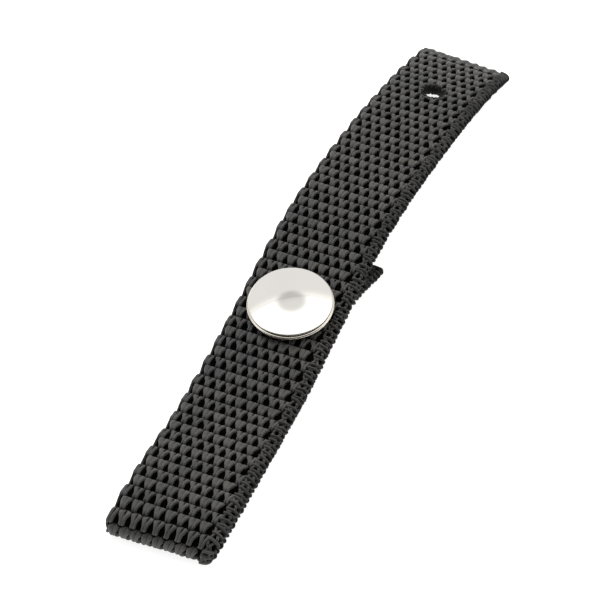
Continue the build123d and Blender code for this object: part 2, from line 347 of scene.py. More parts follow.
@dataclass
class Shape:
    """Vertices, faces and per-corner texture places, gathered before a mesh is made."""

    LABEL_STEP = 37.3

    points: list[Array] = field(default_factory=list)
    faces: list[tuple[int, ...]] = field(default_factory=list)
    uvs: list[Array] = field(default_factory=list)
    depth: list[Array] = field(default_factory=list)
    count: int = 0

    def _add(self, points: Array, depth: Array | None, wrap: bool) -> Array:
        """Adds points and the quads between them.

        Args:
            points: As (rows, columns, 3).
            depth: How far each point lies towards the outside, 0 to 1. All 1 if left out.
            wrap: Whether the last column joins the first.

        Returns:
            The quads' corners, numbered within points, as (quads, 4).
        """
        n, m, _ = points.shape
        corners = quad_corners(n, m, wrap)
        self.faces.extend(map(tuple, (corners + self.count).tolist()))
        self.points.append(points.reshape(-1, 3))
        self.depth.append(np.ones(n * m) if depth is None else depth.reshape(-1))
        self.count += n * m
        return corners

    def tube(self, rings: Array, along: Array, label: float, depth: Array | None = None,
             capped: bool = True) -> None:
        """Adds a tube.

        Args:
            rings: Points, as (rings, sides, 3).
            along: Distance along the tube at each ring, for the texture.
            label: A number that sets this tube's texture apart from its neighbours'.
            depth: How far each point lies towards the outside, 0 to 1.
            capped: Whether the ends are closed.
        """
        n, sides, _ = rings.shape
        base = self.count
        self._add(rings, depth, wrap=True)
        i, j = np.divmod(np.arange((n - 1) * sides), sides)
        x, near, far = along + self.LABEL_STEP * label, j / sides, (j + 1) / sides
        corners = [x[i], near, x[i + 1], near, x[i + 1], far, x[i], far]
        self.uvs.append(np.stack(corners, -1).reshape(-1, 2))
        if capped:
            end = base + n * sides
            self.faces.append(tuple(range(base, base + sides)))
            self.faces.append(tuple(range(end - 1, end - sides - 1, -1)))
            for ring in (0, n - 1):
                self.uvs.append(np.stack([np.full(sides, x[ring]),
                                          np.arange(sides) / sides], -1))

    def grid(self, points: Array, uv: Array, wrap: bool, depth: Array | None = None) -> None:
        """Adds a sheet of quads.

        Args:
            points: As (rows, columns, 3).
            uv: Texture places, as (rows, columns, 2).
            wrap: Whether the last column joins the first.
            depth: How far each point lies towards the outside, 0 to 1.
        """
        corners = self._add(points, depth, wrap)
        self.uvs.append(uv.reshape(-1, 2)[corners.reshape(-1)])

    def make(self, name: str, material: Material, path: StripPath | None = None) -> Piece:
        """Makes the object, in metres.

        Args:
            name: The piece's name.
            material: Its finish.
            path: Where given, the points are strip coordinates and are placed along it.

        Returns:
            The new object.
        """
        points = np.concatenate(self.points)
        if path is not None:
            points = path.place(points)
        mesh = bpy.data.meshes.new(name)
        mesh.from_pydata((points * MM).tolist(), [], self.faces)
        layer = mesh.uv_layers.new(name="UVMap")
        layer.data.foreach_set("uv", np.concatenate(self.uvs).astype(np.float32).ravel())
        # the outward values drive the yarn finishes' painted shade low between the faces
        attribute = mesh.attributes.new("outward", "FLOAT", "POINT")
        attribute.data.foreach_set("value", np.concatenate(self.depth).astype(np.float32))
        mesh.polygons.foreach_set("use_smooth", np.ones(len(mesh.polygons), bool))
        mesh.materials.append(material)
        mesh.update()
        log.info("%s: %d faces", name, len(mesh.polygons))
        return add_object(name, mesh)


def cable_rings(line: Array, wide: Array | float, high: Array | float, sides: int,
                up: Array) -> Array:
    """Rings of a tube round a line.

    Args:
        line: Points, as (n, 3).
        wide: Half width, square to up.
        high: Half height, along up.
        sides: Points round each ring.
        up: A direction that the line never runs along.

    Returns:
        Points, as (n, sides, 3).
    """
    tangent = np.gradient(line, axis=0)
    tangent /= np.linalg.norm(tangent, axis=1, keepdims=True)
    side = np.cross(tangent, np.broadcast_to(up, line.shape))
    side /= np.linalg.norm(side, axis=1, keepdims=True)
    top = np.cross(side, tangent)
    angle = ring_angles(sides)
    wide, high = np.broadcast_to(wide, len(line)), np.broadcast_to(high, len(line))
    return (line[:, None] + side[:, None] * (wide[:, None] * np.cos(angle))[..., None]
            + top[:, None] * (high[:, None] * np.sin(angle))[..., None])


def weld(piece: Piece) -> None:
    """Merges vertices that lie on each other.

    Args:
        piece: The piece, whose mesh is replaced.
    """
    modifier = piece.modifiers.new("weld", "WELD")
    modifier.merge_threshold = WELD_REACH
    graph = bpy.context.evaluated_depsgraph_get()
    mesh = bpy.data.meshes.new_from_object(piece.evaluated_get(graph))
    piece.modifiers.clear()
    piece.data = mesh


# ---- finishes ----
class Graph:
    """A material's node tree, with short calls for the nodes that the finishes use."""

    def __init__(self, name: str) -> None:
        """Starts an empty material with a Principled shader.

        Args:
            name: The material's name.
        """
        self.material = bpy.data.materials.new(name)
        self.material.use_nodes = True
        self.tree = self.material.node_tree
        self.tree.nodes.clear()
        self.shader = self.node("BsdfPrincipled")
        self.node("OutputMaterial", {"Surface": self.shader.outputs["BSDF"]})
        places = self.node("TexCoord").outputs
        self.uv_place, self.object_place = places["UV"], places["Object"]

    def feed(self, target: Socket, value: object) -> None:
        """Links a source to an input, or sets the input to a constant.

        Args:
            target: The input.
            value: A source socket, or a number or colour.
        """
        if isinstance(value, Socket):
            self.tree.links.new(value, target)
        else:
            target.default_value = value

    def node(self, kind: str, values: dict[str | int, object] | None = None,
             **settings: object) -> bpy.types.Node:
        """A new node.

        Args:
            kind: The node's type, without its ShaderNode prefix.
            values: Input sockets' numbers, colours or sources, by name or place.
            **settings: The node's own settings.

        Returns:
            The node.
        """
        made = self.tree.nodes.new("ShaderNode" + kind)
        for name, value in settings.items():
            setattr(made, name, value)
        for name, value in (values or {}).items():
            self.feed(made.inputs[name], value)
        return made

    def set(self, **values: object) -> None:
        """Sets the shader's own sockets, by name with underscores for spaces."""
        for name, value in values.items():
            self.feed(self.shader.inputs[name.replace("_", " ")], value)

    def ramp(self, source: Socket, span: Pair, start: Triple, end: Triple) -> Socket:
        """A colour that goes from start to end as source goes through span.

        Args:
            source: The number.
            span: Its low and high values.
            start: The colour at the low one.
            end: The colour at the high one.

        Returns:
            The colour's socket.
        """
        made = self.node("ValToRGB", {0: source})
        made.color_ramp.interpolation = "EASE"
        for element, place, colour in zip(made.color_ramp.elements, span, (start, end)):
            element.position, element.color = place, (*colour, 1.0)
        return made.outputs[0]

    def remap(self, source: Socket, span: Pair, start: float, end: float) -> Socket:
        """A number that goes from start to end as source goes through span."""
        values = {0: source, 1: span[0], 2: span[1], 3: start, 4: end}
        return self.node("MapRange", values).outputs[0]

    def mix(self, share: float, a: Socket, b: Socket, how: str = "MIX") -> Socket:
        """Mixes two colours: sockets 6 and 7 are the node's colour inputs, and 2 its output."""
        values = {0: share, 6: a, 7: b}
        return self.node("Mix", values, data_type="RGBA", blend_type=how).outputs[2]

    def noise(self, place: Socket, scale: float | Triple, detail: float,
              roughness: float = 0.55) -> Socket:
        """Noise, stretched by its scale.

        Args:
            place: Where it is read.
            scale: Its scale on all axes, or on each.
            detail: Its octaves.
            roughness: How strong the finer octaves are.

        Returns:
            The noise's socket.
        """
        sizes = (scale,) * 3 if isinstance(scale, float) else scale
        stretched = self.node("Mapping", {"Vector": place, "Scale": sizes}).outputs[0]
        return self.node("TexNoise", {"Vector": stretched, "Scale": 1.0, "Detail": detail,
                                      "Roughness": roughness}).outputs[0]

    def bump(self, height: Socket, strength: float, distance: float,
             below: Socket | None = None) -> Socket:
        """A bumped normal.

        Args:
            height: The bumps' height.
            strength: How strong they are.
            distance: How high they are, in millimetres.
            below: A normal that they are added to.

        Returns:
            The normal's socket.
        """
        values: dict[str | int, object] = {"Strength": strength, "Distance": distance * MM,
                                           "Height": height}
        if below is not None:
            values["Normal"] = below
        return self.node("Bump", values).outputs[0]


@dataclass(frozen=True)
class YarnFinish:
    """Spun-dyed filament yarn: satin bundles of fine filaments, a little uneven in colour, with
    painted shade that darkens it where it lies low between the faces.
    """

    name: str
    # painted shade: the colour that the yarn is darkened to where it lies low between the faces;
    # lit is its own colour at a face
    painted_deep_shade: Triple
    lit: Triple
    roughness: float = 0.56
    sheen: float = 0.12
    gloss: float = 0.3
    twist: float = 0.11
    filament_scale: Triple = (0.55, 26.4, 1.0)
    filament_bump: Pair = (0.55, 0.03)
    bundle_scale: Triple = (0.2, 6.05, 1.0)
    bundle_bump: Pair = (0.5, 0.066)
    cloud_scale: float = 240.0
    drift_scale: float = 42.0
    # where, by the outward value, the painted shade gives way to the yarn's own colour
    painted_shade_span: Pair = (0.2, 0.95)
    streak_span: Pair = (0.32, 0.72)
    streaks: tuple[Triple, Triple] = ((0.62, 0.62, 0.62), (1.3, 1.29, 1.27))
    mottle: tuple[Triple, Triple] = ((0.8, 0.8, 0.82), (1.2, 1.19, 1.15))
    drift: tuple[Triple, Triple] = ((0.9, 0.9, 0.93), (1.1, 1.09, 1.05))
    roughness_spread: Pair = (-0.08, 0.1)
    sheen_roughness: float = 0.45
    sheen_tint: Triple = (0.85, 0.84, 0.8)

    def material(self) -> Material:
        """Builds the finish.

        Returns:
            The material.
        """
        g = Graph(self.name)
        along, around, _ = g.node("SeparateXYZ", {0: g.uv_place}).outputs
        turned = g.node("Math", {0: along, 1: self.twist, 2: around},
                        operation="MULTIPLY_ADD").outputs[0]
        spun = g.node("CombineXYZ", {0: along, 1: turned, 2: 0.0}).outputs[0]
        filaments = g.noise(spun, self.filament_scale, 3.0, 0.6)
        bundles = g.noise(spun, self.bundle_scale, 1.0, 0.5)
        cloudy = g.noise(g.object_place, self.cloud_scale, 4.0)
        broad = g.noise(g.object_place, self.drift_scale, 2.0)
        outward = g.node("Attribute", attribute_name="outward").outputs["Fac"]
        # painted shade: the yarn's colour goes from near black low between the faces to its own
        # colour at a face
        colour = g.ramp(outward, self.painted_shade_span, self.painted_deep_shade, self.lit)
        for source, span, shades in ((filaments, self.streak_span, self.streaks),
                                     (cloudy, NOISE_RANGE, self.mottle),
                                     (broad, NOISE_RANGE, self.drift)):
            colour = g.mix(1.0, colour, g.ramp(source, span, *shades), "MULTIPLY")
        normal = g.bump(filaments, *self.filament_bump, g.bump(bundles, *self.bundle_bump))
        smoother, rougher = (self.roughness + change for change in self.roughness_spread)
        g.set(Base_Color=colour, Normal=normal, Specular_IOR_Level=self.gloss,
              Roughness=g.remap(cloudy, NOISE_RANGE, smoother, rougher),
              Sheen_Weight=self.sheen, Sheen_Roughness=self.sheen_roughness,
              Sheen_Tint=(*self.sheen_tint, 1.0))
        return g.material


@dataclass(frozen=True)
class FusedFinish:
    """Yarn ends melted into a lumpy, half-glossy skin."""

    name: str
    dark: Triple
    light: Triple
    roughness: float = 0.42
    gloss: float = 0.5
    lump_scale: float = 700.0
    lump_bump: Pair = (0.5, 0.2)
    pore_scale: float = 2600.0
    pore_bump: Pair = (0.35, 0.05)
    pore_span: Pair = (0.35, 0.65)
    roughness_spread: Pair = (-0.14, 0.16)

    def material(self) -> Material:
        """Builds the finish.

        Returns:
            The material.
        """
        g = Graph(self.name)
        lumps = g.noise(g.object_place, self.lump_scale, 3.0)
        pores = g.noise(g.object_place, self.pore_scale, 4.0, 0.7)
        colour = g.mix(0.5, g.ramp(lumps, NOISE_RANGE, self.dark, self.light),
                       g.ramp(pores, self.pore_span, self.dark, self.light))
        normal = g.bump(pores, *self.pore_bump, g.bump(lumps, *self.lump_bump))
        smoother, rougher = (self.roughness + change for change in self.roughness_spread)
        g.set(Base_Color=colour, Normal=normal, Specular_IOR_Level=self.gloss,
              Roughness=g.remap(lumps, NOISE_RANGE, smoother, rougher))
        return g.material


@dataclass(frozen=True)
class PlatedFinish:
    """Bright plated metal with fine handling marks."""

    name: str
    colour: Triple
    roughness: float
    scuffs: float
    haze_scale: float = 90.0
    haze_spans: tuple[Pair, Pair] = ((0.35, 0.7), (0.3, 0.75))
    haze_shade: float = 0.965
    mark_scales: tuple[Triple, Triple] = ((5200.0, 160.0, 900.0), (260.0, 4800.0, 700.0))
    mark_depth: float = 0.004
    roughness_spread: Pair = (0.7, 1.4)

    def material(self) -> Material:
        """Builds the finish.

        Returns:
            The material.
        """
        g = Graph(self.name)
        haze = g.noise(g.object_place, self.haze_scale, 3.0)
        hairs, others = (g.noise(g.object_place, scale, 2.0, 0.7) for scale in self.mark_scales)
        marks = g.node("Math", {0: hairs, 1: others}, operation="MULTIPLY").outputs[0]
        dull = tuple(self.haze_shade * c for c in self.colour)
        smoother, rougher = (self.roughness * change for change in self.roughness_spread)
        g.set(Base_Color=g.ramp(haze, self.haze_spans[0], dull, self.colour), Metallic=1.0,
              Normal=g.bump(marks, self.scuffs, self.mark_depth),
              Roughness=g.remap(haze, self.haze_spans[1], smoother, rougher))
        return g.material


@dataclass(frozen=True)
class WireFinish:
    """Drawn spring wire, with draw marks along it."""

    name: str
    colour: Triple
    roughness: float = 0.3
    draw_scale: Triple = (0.3, 24.0, 1.0)
    draw_bump: Pair = (0.4, 0.01)
    draw_shade: float = 0.75
    roughness_spread: Pair = (0.8, 1.3)

    def material(self) -> Material:
        """Builds the finish.

        Returns:
            The material.
        """
        g = Graph(self.name)
        drawn = g.noise(g.uv_place, self.draw_scale, 3.0)
        dull = tuple(self.draw_shade * c for c in self.colour)
        smoother, rougher = (self.roughness * change for change in self.roughness_spread)
        g.set(Base_Color=g.ramp(drawn, NOISE_RANGE, dull, self.colour), Metallic=1.0,
              Normal=g.bump(drawn, *self.draw_bump),
              Roughness=g.remap(drawn, NOISE_RANGE, smoother, rougher))
        return g.material


@dataclass(frozen=True)
class FloorFinish:
    """Matt white light table."""

    name: str
    shade: float
    glow: float
    roughness: float = 0.9
    gloss: float = 0.1

    def material(self) -> Material:
        """Builds the finish.

        Returns:
            The material.
        """
        g = Graph(self.name)
        g.set(Base_Color=(self.shade, self.shade, self.shade, 1.0), Roughness=self.roughness,
              Specular_IOR_Level=self.gloss, Emission_Color=(1.0, 1.0, 1.0, 1.0),
              Emission_Strength=self.glow)
        return g.material


# The first colour of each yarn finish is painted shade low between the faces, and the second is
# the yarn's colour at a face.
CHARCOAL_WARP = YarnFinish("charcoal_warp", (0.0012, 0.0012, 0.0012), (0.06, 0.0605, 0.061))
# painted shade: the weft and the core are near black, without sheen or gloss, to stand for the
# shade in the gaps between the warp yarns
WEFT_AND_CORE_PAINTED_SHADE = YarnFinish("black_weft", (0.0012, 0.0012, 0.0012), (0.012, 0.012, 0.012),
                        roughness=0.9, sheen=0.0, gloss=0.02)
CHARCOAL_SELVEDGE = YarnFinish("charcoal_selvedge", (0.001, 0.001, 0.001),
                               (0.052, 0.0525, 0.053), roughness=0.6, sheen=0.08, gloss=0.22)
FUSED_GREY = FusedFinish("fused_tail", (0.02, 0.02, 0.021), (0.07, 0.07, 0.071))
# near black: the leg end's melted lip, and painted shade on the hole's wall
FUSED_DARK_AND_HOLE_SHADE = FusedFinish("fused_black", (0.0025, 0.0025, 0.0025), (0.011, 0.011, 0.011),
                          roughness=0.6, gloss=0.15)
POLISHED_NICKEL = PlatedFinish("polished_nickel", (0.93, 0.915, 0.89), 0.07, 0.15)
BRIGHT_PLATING = PlatedFinish("bright_plating", (0.86, 0.85, 0.83), 0.18, 0.3)
# painted shade: the rolled rim's coat is darker and warmer than the dome, for the dim cream look
# of its reflection
RIM_PAINTED_SHADE = PlatedFinish("worn_rim", (0.66, 0.62, 0.55), 0.2, 0.3)
# painted shade: a dark ring in the groove under the dome's foot
SEAM_PAINTED_SHADE = PlatedFinish("dulled_seam", (0.09, 0.08, 0.07), 0.5, 0.3)
SPRING_STEEL = WireFinish("spring_steel", (0.6, 0.59, 0.57))


# ---- webbing ----
@dataclass(frozen=True)
class FloatShape:
    """How a warp end swells where it lies on a face, from the float's start, 0, to its end, 1."""

    head: float
    stem: float
    opens: Pair
    lean: float
    lobes: float
    late: float
    closes: float = 0.9
    lobes_open: Pair = (0.45, 0.75)
    steepness: float = 3.4

    def closing(self, share: Array) -> Array:
        """How open the float still is, 1 until it closes at its end."""
        return 1 - smooth(share, self.closes, 1.0)

    def half_width(self, share: Array, side: float) -> Array:
        """Half width on the left, -1, or the right, 1. The right side opens later."""
        swell = smooth(share - side * self.late, *self.opens) * self.closing(share)
        return self.stem + (self.head - self.stem) * swell

    def lobe(self, share: Array) -> Array:
        """How far the float's two yarns stand apart."""
        return self.lobes * smooth(share, *self.lobes_open) * self.closing(share)

    def rise(self, share: Array) -> Array:
        """Height along the float, 0 to 1. It climbs slowly and dives steeply."""
        wave = np.tanh(self.steepness * np.sin(math.pi * share**self.lean))
        return wave / math.tanh(self.steepness)


@dataclass(frozen=True)
class Stretch:
    """A length of the strip that is one set of pieces."""

    name: str
    start: float
    end: float
    bodies: tuple[Body, ...]
    bend: Pair | None
    stands_for: tuple[str, ...]
    held: str
    rests_on: tuple[str, ...] = ()
    bend_height: float = 0.0


@dataclass(frozen=True)
class Pressing:
    """A plate that presses the webbing flat: its radius, and the share of the height it takes."""

    radius: float
    depth: float
    margin: float = 0.1
    reach: float = 1.5

    def kept(self, away: Array) -> Array:
        """The share of its height that the webbing keeps at a distance from the plate's axis."""
        low, high = self.radius + self.margin, self.radius + self.reach
        return 1.0 - self.depth * (1 - smooth(away, low, high))


@dataclass
class Webbing:
    """The woven strip: paired warp ends over and under a thin weft, and a looped selvedge."""

    path: StripPath
    repeat: float = 4.55
    rings_per_repeat: int = 16
    seed: int = 7
    # the warp
    end_pitch: float = 1.0
    first_end: int = -9
    last_end: int = 7
    crimp: float = 0.52
    yarn_height: float = 0.36
    yarn_sides: int = 10
    yarn_powers: Pair = (0.85, 0.9)
    round_float: FloatShape = FloatShape(0.94, 0.47, (0.1, 0.78), 0.84, 0.4, 0.12)
    forked_float: FloatShape = FloatShape(0.95, 0.46, (0.3, 0.9), 0.84, 0.9, 0.05)
    yarn_place: float = 0.44
    yarn_share: float = 0.6
    lobe_spread: float = 0.18
    lobe_narrowing: float = 0.12
    sway_size: float = 0.07
    swell_size: float = 0.08
    lift_size: float = 0.07
    tuck: float = 0.93
    edge_bump: float = 0.24
    edge_bump_middle: float = 0.6
    edge_crimp: float = 0.3
    edge_half_width: float = 0.62
    cut_zone: Pair = (4.0, 1.0)
    cut_crimp_loss: float = 0.35
    cut_half_width: float = 0.56
    # the weft and the core
    weft_wide: float = 0.46
    weft_high: float = 0.26
    weft_crimp: float = 0.16
    weft_inset: float = 0.4
    weft_spacing: float = 0.28
    weft_turn: float = 0.22
    weft_label: float = 61.0
    # painted shade: the weft takes only a quarter of its outward value, so it stays near black
    weft_depth: float = 0.25
    core_half_width: float = 9.1
    core_half_height: float = 0.2
    core_columns: int = 56
    # the selvedge
    band_start: float = 7.75
    strands: tuple[Triple, Triple] = ((7.95, 0.26, 0.0), (8.7, 0.3, 2.4))
    strand_size: Pair = (0.24, 0.19)
    strand_height: Pair = (0.5, 0.16)
    strand_drift: Pair = (0.12, 0.1)
    hook_start: float = 7.95
    hook_reach: float = 1.3
    hook_half_height: float = 0.64
    hook_size: Pair = (0.5, 0.22)
    hook_powers: Pair = (0.7, 0.8)
    hook_arc: float = 0.54
    hook_slant: Pair = (0.12, 0.5)
    # where it is pressed, melted or pierced
    under_eyelet: Pressing = Pressing(5.0, 0.5)
    over_stud: Pressing = Pressing(5.4, 0.53)
    over_socket: Pressing = Pressing(5.8, 0.53)
    under_cap: Pressing = Pressing(4.0, 0.12, 0.0, 3.5)
    tail_melt: Pair = (5.5, 1.0)
    leg_melt: Pair = (0.8, 3.5)
    melt_loss: float = 0.22
    hole_radius: float = 2.0
    hole_from_end: float = 18.0
    hole_margins: Triple = (0.1, 0.15, 0.3)
    # outward_span: the depths over which the yarns' painted shade fades towards a face
    outward_span: Pair = (0.05, 0.62)
    # where one stretch's pieces end and the next one's start
    lip: Pair = (1.0, 0.9)
    borders: tuple[float, float, float, float] = (68.7, 79.4, 144.5, 168.5)
    hinge_reach: Pair = (9.0, 7.0)
    fold_bend_height: float = -0.5

    def __post_init__(self) -> None:
        """Works out the ring spacing and draws the yarns' small irregularities."""
        self.step = self.repeat / self.rings_per_repeat
        self.hole_s = self.path.length - self.hole_from_end
        rng = np.random.default_rng(self.seed)
        ends = range(self.first_end, self.last_end + 1)
        self.sway = {i: Wobble(rng, 5, 3.0, 40.0) for i in ends}
        self.swell = {i: Wobble(rng, 5, 2.4, 20.0) for i in ends}
        self.lift = {i: Wobble(rng, 5, 2.4, 20.0) for i in ends}

    def stretches(self) -> tuple[Stretch, ...]:
        """The lengths that are built as separate sets of pieces.

        Returns:
            The stretches, from the leg's cut end to the tail's.
        """
        stops, (lip_leg, lip_tail) = self.path.stops, self.lip
        leg_end, fold_end, run_end, bend_end = (round(x / self.step) * self.step
                                                for x in self.borders)
        inner, outer = ((stops[name] - reach, stops[name] + reach) for name, reach
                        in zip(("arch_top", "arch_fall"), self.hinge_reach))
        return (
            Stretch("leg", lip_leg, leg_end, (Body.LEG,), None, ("webbing_leg",), "laid"),
            Stretch("fold", leg_end, fold_end, (Body.LEG, Body.RUN),
                    (stops["fold"], stops["crown"]),
                    ("webbing_fold_lower", "webbing_fold_upper"), "folded",
                    bend_height=self.fold_bend_height),
            Stretch("run", fold_end, run_end, (Body.RUN,), None, ("webbing_run",), "laid"),
            Stretch("bend", run_end, bend_end, (Body.RUN, Body.TAIL_INNER), inner,
                    ("webbing_tail_inner",), "laid"),
            Stretch("tail", bend_end, self.path.length - lip_tail,
                    (Body.TAIL_INNER, Body.TAIL_OUTER), outer, ("webbing_tail_outer",), "laid"),
        )

    def steps(self, stretch: Stretch) -> tuple[int, int]:
        """A stretch's first and last ring, in steps along the strip."""
        return round(stretch.start / self.step), round(stretch.end / self.step)

    # -- where the strip is pressed, melted or pierced --
    def push_out(self, points: Array, radius: float) -> None:
        """Moves strip points that are too near the hole's centre straight away from it.

        Args:
            points: The points, changed in place.
            radius: How near they may be.
        """
        ds, du = points[..., 0] - self.hole_s, points[..., 1]
        away = np.hypot(ds, du)
        push = np.where(away < radius, radius / np.maximum(away, 1e-6), 1.0)
        points[..., 0], points[..., 1] = self.hole_s + ds * push, du * push

    def settle(self, points: Array) -> Array:
        """Flattens strip points where plates press on them and keeps them out of the hole.

        Args:
            points: The points.

        Returns:
            The settled points.
        """
        out = np.array(points, float)
        s, u, h = points[..., 0], points[..., 1], points[..., 2]
        at_run = np.hypot(s - self.path.run_snap, u)
        at_leg = np.hypot(s - self.path.leg_snap, u + self.path.leg_offset)
        over = np.where(h > 0, self.under_eyelet.kept(at_leg), self.over_stud.kept(at_leg))
        under = np.where(h < 0, self.over_socket.kept(at_run), self.under_cap.kept(at_run))
        start, end = (self.path.length - x for x in self.tail_melt)
        melted = smooth(s, start, end) + (1 - smooth(s, *self.leg_melt))
        out[..., 2] = h * over * under * (1 - self.melt_loss * melted)
        self.push_out(out, self.hole_radius + self.hole_margins[0])
        return out

    def outward(self, points: Array) -> Array:
        """How near to a face each strip point is, 0 to 1; the yarn finishes paint shade where it
        is low.
        """
        return smooth(np.abs(points[..., 2]), *self.outward_span)

    def outside_hole(self, centres: Array) -> list[slice]:
        """Finds a tube's rings that are clear of the hole.

        Args:
            centres: The rings' centres.

        Returns:
            The runs of clear rings.
        """
        away = np.hypot(centres[:, 0] - self.hole_s, centres[:, 1])
        clear = away > self.hole_radius + self.hole_margins[1]
        edges = np.flatnonzero(np.diff(np.concatenate([[0], clear.astype(int), [0]])))
        return [slice(a, b) for a, b in zip(edges[::2], edges[1::2]) if b - a > 2]

    # -- yarns --
    def warp(self, stretch: Stretch) -> Shape:
        """The paired warp ends of one stretch.

        Args:
            stretch: The stretch.

        Returns:
            Their shape, in strip coordinates. It tucks one ring under its neighbours at each end.
        """
        shape = Shape()
        first, last = self.steps(stretch)
        s = np.arange(first - 1, last + 2) * self.step
        tuck = np.ones(len(s))
        tuck[[0, -1]] = self.tuck
        high = self.yarn_height * tuck
        angle = ring_angles(self.yarn_sides)
        flat_cos, flat_sin = (squared(wave, power) for wave, power
                              in zip((np.cos(angle), np.sin(angle)), self.yarn_powers))
        ending = smooth(s, *(self.path.length - x for x in self.cut_zone))
        for end in range(self.first_end, self.last_end + 1):
            kind = self.forked_float if end % 2 else self.round_float
            travel = 2 * s / self.repeat + end
            share = travel - np.floor(travel)
            wave = kind.rise(share) * np.where(np.floor(travel) % 2 == 0, 1.0, -1.0)
            uneven = 1 + self.swell_size * self.swell[end](s)
            lobe = kind.lobe(share)
            middle = (self.crimp * wave * (1 + self.lift_size * self.lift[end](s))
                      * (1 - self.cut_crimp_loss * ending))
            centre = end * self.end_pitch + self.sway_size * self.sway[end](s)
            if end == self.first_end:
                scallop = np.abs(np.sin(math.pi * s / self.repeat))
                centre = centre + self.edge_bump * (self.edge_bump_middle - scallop)
                middle = self.edge_crimp * wave
            for side in (-1, 1):
                half = (kind.half_width(share, side) * uneven * (1 - ending)
                        + self.cut_half_width * ending)
                if end == self.first_end:
                    half = np.full_like(s, self.edge_half_width)
                line = centre + side * half * (self.yarn_place + self.lobe_spread * lobe)
                wide = half * (self.yarn_share - self.lobe_narrowing * lobe) * tuck
                rings = np.stack([
                    np.broadcast_to(s[:, None], (len(s), self.yarn_sides)),
                    line[:, None] + wide[:, None] * flat_cos,
                    middle[:, None] + high[:, None] * flat_sin,
                ], -1)
                for part in self.outside_hole(np.stack([s, line], -1)):
                    shape.tube(self.settle(rings[part]), s[part], end * 2 + side * 0.5,
                               self.outward(rings[part]))
        return shape

    def weft(self, stretch: Stretch) -> Shape:
        """The weft of one stretch, to and fro across the strip.

        Args:
            stretch: The stretch.

        Returns:
            Its shape, in strip coordinates.
        """
        shape = Shape()
        pick = self.repeat / 2
        first, last = (math.ceil(x / pick - 0.5) for x in (stretch.start, stretch.end))
        line: list[Array] = []
        u = np.arange(self.weft_inset - self.core_half_width, self.band_start + self.weft_inset,
                      self.weft_spacing)
        turn = np.linspace(0, math.pi, 9)[1:-1]
        for k in range(first, last):
            across, reach = (u, self.weft_turn) if k % 2 == 0 else (u[::-1], 0.0)
            height = -self.weft_crimp * np.sin(math.pi * (k + 0.5 + across))
            line.append(np.stack([np.full_like(u, (k + 0.5) * pick), across, height], -1))
            if k < last - 1:
                line.append(np.stack([(k + 1) * pick - pick / 2 * np.cos(turn),
                                      across[-1] + reach * np.sin(turn), 0 * turn], -1))
        centres = np.concatenate(line)
        for part in self.outside_hole(centres):
            rings = cable_rings(centres[part], self.weft_wide, self.weft_high, 8, UPWARDS)
            trips = np.linalg.norm(np.diff(centres[part], axis=0), axis=1)
            shape.tube(self.settle(rings), np.concatenate([[0], np.cumsum(trips)]),
                       self.weft_label, self.weft_depth * self.outward(rings))
        return shape

    def selvedge(self, stretch: Stretch) -> Shape:
        """The looped right-hand selvedge: hooks over the edge, and chained strands on each face.

        Args:
            stretch: The stretch.

        Returns:
            Its shape, in strip coordinates.
        """
        shape = Shape()
        loop = self.repeat / 4
        fine = loop / 8
        first, last = self.steps(stretch)
        s = np.arange(first * self.step - fine, last * self.step + 1.5 * fine, fine)
        (level, ripple), (along_drift, sway) = self.strand_height, self.strand_drift
        for face in (1, -1):
            for strand, (u_middle, swing, phase) in enumerate(self.strands):
                turn = math.pi * s / loop + phase
                line = np.stack([s + along_drift * np.sin(2 * turn),
                                 u_middle + swing * np.sin(turn) + sway * self.sway[0](s),
                                 face * (level + ripple * np.cos(2 * turn + phase))], -1)
                rings = cable_rings(line, *self.strand_size, 7, UPWARDS)
                shape.tube(self.settle(rings), s, 70 + u_middle + strand + face,
                           self.outward(rings))
        arc = np.linspace(-self.hook_arc * math.pi, self.hook_arc * math.pi, 19)
        out = squared(np.cos(arc), self.hook_powers[0])
        over = squared(np.sin(arc), self.hook_powers[1])
        for k in range(math.ceil(stretch.start / loop), math.ceil(stretch.end / loop)):
            jitter = np.random.default_rng(1000 + k).uniform(-1, 1, 5)
            slant = self.hook_slant[0] + self.hook_slant[1] * jitter[0]
            line = np.stack([(k + 0.12 * jitter[1]) * loop + slant * loop * arc / arc[-1],
                             self.hook_start + (self.hook_reach + 0.04 * jitter[2]) * out,
                             (self.hook_half_height + 0.07 * jitter[3]) * over], -1)
            rings = cable_rings(line, self.hook_size[0] + 0.07 * jitter[4], self.hook_size[1], 8,
                                np.array([1.0, 0.0, 0.0]))
            shape.tube(self.settle(rings), arc, 90 + 3.7 * k, self.outward(rings))
        return shape

    def core(self, stretch: Stretch) -> Shape:
        """A thin sheet through the strip's middle, which closes the gaps between the yarns and is
        near black as painted shade in them.

        Args:
            stretch: The stretch.

        Returns:
            Its shape, in strip coordinates, closed but for the hole.
        """
        shape = Shape()
        first, last = self.steps(stretch)
        s = np.arange(first, last + 1) * self.step
        u = np.linspace(-self.core_half_width, self.core_half_width + 0.1, self.core_columns)
        around = np.concatenate([
            np.stack([u, np.full_like(u, self.core_half_height)], -1),
            np.stack([u[::-1], np.full_like(u, -self.core_half_height)], -1)])
        n, m = len(s), len(around)
        points = np.empty((n, m, 3))
        points[..., 0] = s[:, None]
        points[..., 1:] = around
        clear = self.hole_radius + self.hole_margins[2]
        inside = np.hypot(points[..., 0] - self.hole_s, points[..., 1]) < clear - 0.2
        self.push_out(points, clear)
